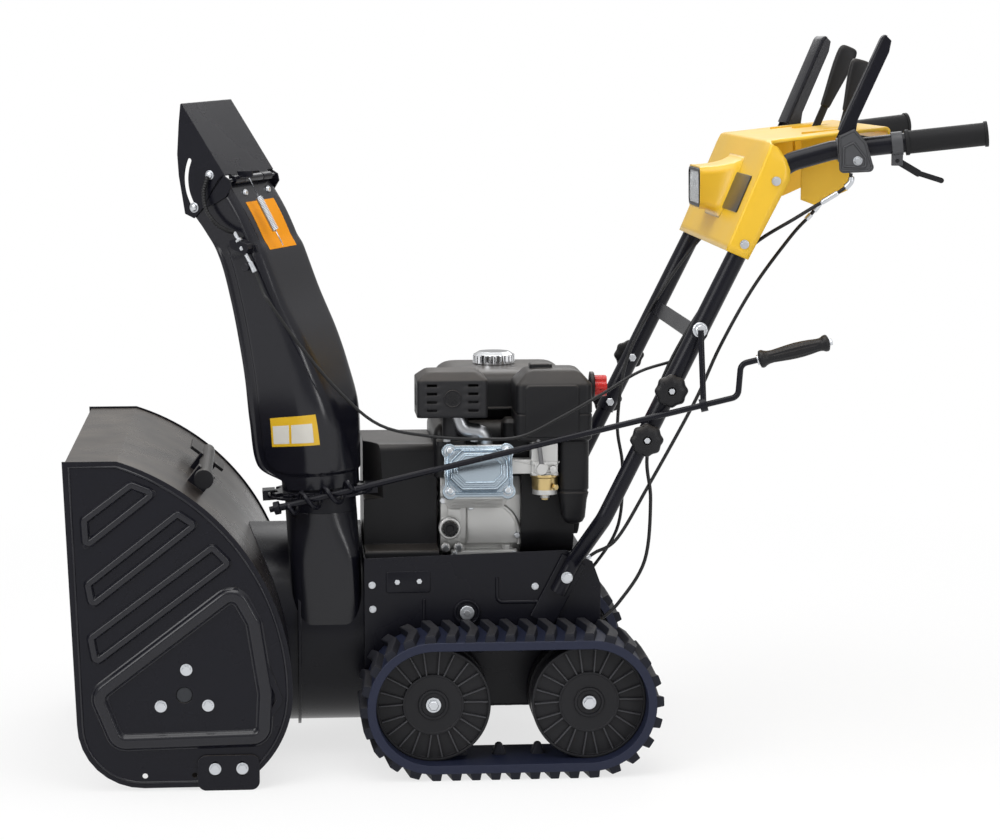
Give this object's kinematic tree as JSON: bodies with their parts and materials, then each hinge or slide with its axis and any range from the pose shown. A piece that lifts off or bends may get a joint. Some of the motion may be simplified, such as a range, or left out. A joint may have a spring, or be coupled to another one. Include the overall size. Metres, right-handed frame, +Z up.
{
  "type": "tracked two stage snowblower",
  "caption": "Tracked walk-behind snow thrower with auger scoop, impeller, turning discharge chute, petrol engine, raised handles and control console.",
  "frame": {"origin": "on the ground under the middle of the machine's box, halfway along its length and width", "axes": "+X back towards the operator, +Y to the machine's right, +Z up"},
  "size_m": [1.508, 0.722, 1.2181],
  "materials": {
    "scoop_paint": "satin",
    "frame_paint": "satin",
    "auger_paint": "satin",
    "bare_steel": "worn",
    "zinc": "satin",
    "cast_case": "matte",
    "alloy": "cast",
    "track_rubber": "matte",
    "wheel_plastic": "matte",
    "black_plastic": "satin",
    "grip_rubber": "matte",
    "belt_rubber": "matte",
    "console_paint": "satin",
    "muffler_paint": "matte",
    "chrome_trim": "polished",
    "red_plastic": "gloss",
    "carb_zinc": "satin",
    "cable_sleeve": "satin",
    "lever_plastic": "satin"
  },
  "bodies": {
    "machine": {"auger_housing": "scoop_paint", "left_side_plate": "scoop_paint", "right_side_plate": "scoop_paint", "scraper_bar": "bare_steel", "skid_shoes": "scoop_paint", "auger_bearings": "frame_paint", "impeller_housing": "scoop_paint", "gearbox_case": "cast_case", "drive_belts": "belt_rubber", "belt_cover": "black_plastic", "chassis_frame": "frame_paint", "frame_bolts": "zinc", "left_track": "track_rubber", "right_track": "track_rubber", "crankcase": "alloy", "cylinder_block": "alloy", "valve_cover": "zinc", "muffler": "muffler_paint", "fuel_tank": "frame_paint", "air_box": "black_plastic", "carburetor": "carb_zinc", "recoil_cover": "frame_paint", "chute_brackets": "zinc", "lower_handles": "frame_paint", "upper_handles": "frame_paint", "handle_grips": "grip_rubber", "handle_knobs": "black_plastic", "console": "console_paint", "headlamp": "black_plastic", "lever_brackets": "lever_plastic", "control_cables": "cable_sleeve", "deflector_cable": "cable_sleeve"},
    "auger": {"auger_shaft": "bare_steel", "left_auger": "auger_paint", "right_auger": "auger_paint"},
    "impeller": {"impeller": "auger_paint", "impeller_shaft": "bare_steel"},
    "crankshaft": {"engine_pulley": "bare_steel"},
    "drive_disc": {"drive_disc": "alloy"},
    "hex_shaft": {"hex_shaft": "bare_steel"},
    "friction_wheel": {"friction_wheel": "belt_rubber"},
    "left_front_wheel": {"left_front_wheel": "wheel_plastic"},
    "left_rear_wheel": {"left_rear_wheel": "wheel_plastic"},
    "right_front_wheel": {"right_front_wheel": "wheel_plastic"},
    "right_rear_wheel": {"right_rear_wheel": "wheel_plastic"},
    "chute": {"chute_ring": "scoop_paint", "chute": "scoop_paint", "deflector_spring": "zinc"},
    "deflector": {"deflector": "scoop_paint"},
    "crank": {"crank_rod": "frame_paint"},
    "crank_grip": {"crank_grip": "grip_rubber"},
    "clean_out_tool": {"clean_out_tool": "black_plastic"},
    "fuel_cap": {"fuel_cap": "chrome_trim"},
    "choke_knob": {"choke_knob": "red_plastic"},
    "left_lever": {"left_lever": "frame_paint"},
    "right_lever": {"right_lever": "frame_paint"},
    "left_trigger": {"left_trigger": "frame_paint"},
    "right_trigger": {"right_trigger": "frame_paint"},
    "speed_lever": {"speed_lever": "black_plastic"},
    "chute_lever": {"chute_lever": "black_plastic"}
  },
  "joints": [
    {"name": "impeller_spin", "type": "hinge", "parent": "machine", "child": "impeller", "pos_m": [-0.33, 0, 0.208], "axis": [1, 0, 0], "continuous": true},
    {"name": "auger_spin", "type": "hinge", "parent": "machine", "child": "auger", "pos_m": [-0.565, 0, 0.158], "axis": [0, 1, 0], "continuous": true},
    {"name": "drive_disc_spin", "type": "hinge", "parent": "machine", "child": "drive_disc", "pos_m": [-0.17, 0, 0.254], "axis": [1, 0, 0], "continuous": true},
    {"name": "crankshaft_spin", "type": "hinge", "parent": "machine", "child": "crankshaft", "pos_m": [-0.19, 0, 0.428], "axis": [1, 0, 0], "continuous": true},
    {"name": "hex_shaft_spin", "type": "hinge", "parent": "machine", "child": "hex_shaft", "pos_m": [-0.096, 0, 0.254], "axis": [0, 1, 0], "continuous": true},
    {"name": "friction_wheel_slide", "type": "slide", "parent": "hex_shaft", "child": "friction_wheel", "axis": [0, 1, 0], "range_m": [-0.08, 0.02]},
    {"name": "left_front_wheel_spin", "type": "hinge", "parent": "machine", "child": "left_front_wheel", "pos_m": [-0.159, -0.2575, 0.122], "axis": [0, 1, 0], "continuous": true},
    {"name": "left_rear_wheel_spin", "type": "hinge", "parent": "machine", "child": "left_rear_wheel", "pos_m": [0.099, -0.2575, 0.122], "axis": [0, 1, 0], "continuous": true},
    {"name": "right_front_wheel_spin", "type": "hinge", "parent": "machine", "child": "right_front_wheel", "pos_m": [-0.159, 0.2575, 0.122], "axis": [0, 1, 0], "continuous": true},
    {"name": "right_rear_wheel_spin", "type": "hinge", "parent": "machine", "child": "right_rear_wheel", "pos_m": [0.099, 0.2575, 0.122], "axis": [0, 1, 0], "continuous": true},
    {"name": "chute_turn", "type": "hinge", "parent": "machine", "child": "chute", "pos_m": [-0.34, -0.11, 0.462], "axis": [-0.0576, 0, 0.9983], "range_deg": [-55.38, 138.46], "deforming": ["deflector_cable"]},
    {"name": "crank_turn", "type": "hinge", "parent": "machine", "child": "crank", "pos_m": [-0.33962, -0.205, 0.45541], "axis": [0.9615, -0.1274, 0.2434], "range_deg": [-1801, 721]},
    {"name": "crank_grip_spin", "type": "hinge", "parent": "crank", "child": "crank_grip", "pos_m": [0.37568, -0.29964, 0.68944], "axis": [0.9636, -0.1086, 0.2443], "continuous": true},
    {"name": "deflector_tilt", "type": "hinge", "parent": "chute", "child": "deflector", "pos_m": [-0.44959, -0.064, 0.97855], "axis": [-0.4992, -0.866, -0.0288], "range_deg": [0, 60], "deforming": ["deflector_spring"]},
    {"name": "chute_lever_tilt", "type": "hinge", "parent": "machine", "child": "chute_lever", "pos_m": [0.542, -0.06, 1], "axis": [0, 1, 0], "range_deg": [-24.2, 0.2]},
    {"name": "speed_lever_tilt", "type": "hinge", "parent": "machine", "child": "speed_lever", "pos_m": [0.514, 0.08, 1], "axis": [0, 1, 0], "range_deg": [-16.2, 4.2]},
    {"name": "left_lever_press", "type": "hinge", "parent": "machine", "child": "left_lever", "pos_m": [0.5216, -0.25637, 1.03042], "axis": [0.1541, 0.988, 0], "range_deg": [0, 54], "stiffness_Nm_per_rad": 2, "springref_deg": -20.05},
    {"name": "left_trigger_squeeze", "type": "hinge", "parent": "machine", "child": "left_trigger", "pos_m": [0.60606, -0.26955, 1.01188], "axis": [-0.1541, -0.988, 0], "range_deg": [0, 16], "stiffness_Nm_per_rad": 0.8, "springref_deg": -14.32},
    {"name": "right_lever_press", "type": "hinge", "parent": "machine", "child": "right_lever", "pos_m": [0.5216, 0.25637, 1.03042], "axis": [-0.1541, 0.988, 0], "range_deg": [0, 54], "stiffness_Nm_per_rad": 2, "springref_deg": -20.05},
    {"name": "right_trigger_squeeze", "type": "hinge", "parent": "machine", "child": "right_trigger", "pos_m": [0.60606, 0.26955, 1.01188], "axis": [0.1541, -0.988, 0], "range_deg": [0, 16], "stiffness_Nm_per_rad": 0.8, "springref_deg": -14.32},
    {"name": "fuel_cap_turn", "type": "hinge", "parent": "machine", "child": "fuel_cap", "pos_m": [-0.031, 0.056, 0.608], "axis": [0, 0, 1], "range_deg": [0, 90]},
    {"name": "choke_knob_turn", "type": "hinge", "parent": "machine", "child": "choke_knob", "pos_m": [0.124, -0.14, 0.63], "axis": [1, 0, 0], "range_deg": [0, 90]},
    {"name": "clean_out_tool_lift", "type": "slide", "parent": "machine", "child": "clean_out_tool", "axis": [0.6157, 0, 0.788], "range_m": [0, 0.06]}
  ],
  "couplings": [
    {"joint": "auger_spin", "follows": "impeller_spin", "ratio": 0.1},
    {"joint": "crankshaft_spin", "follows": "drive_disc_spin", "ratio": 1.6316},
    {"joint": "left_rear_wheel_spin", "follows": "left_front_wheel_spin", "ratio": 1},
    {"joint": "right_rear_wheel_spin", "follows": "right_front_wheel_spin", "ratio": 1},
    {"joint": "crank_turn", "follows": "chute_turn", "ratio": -13},
    {"joint": "chute_lever_tilt", "follows": "deflector_tilt", "ratio": -0.4},
    {"joint": "speed_lever_tilt", "follows": "friction_wheel_slide", "rad_per_m": 3.4907}
  ]
}
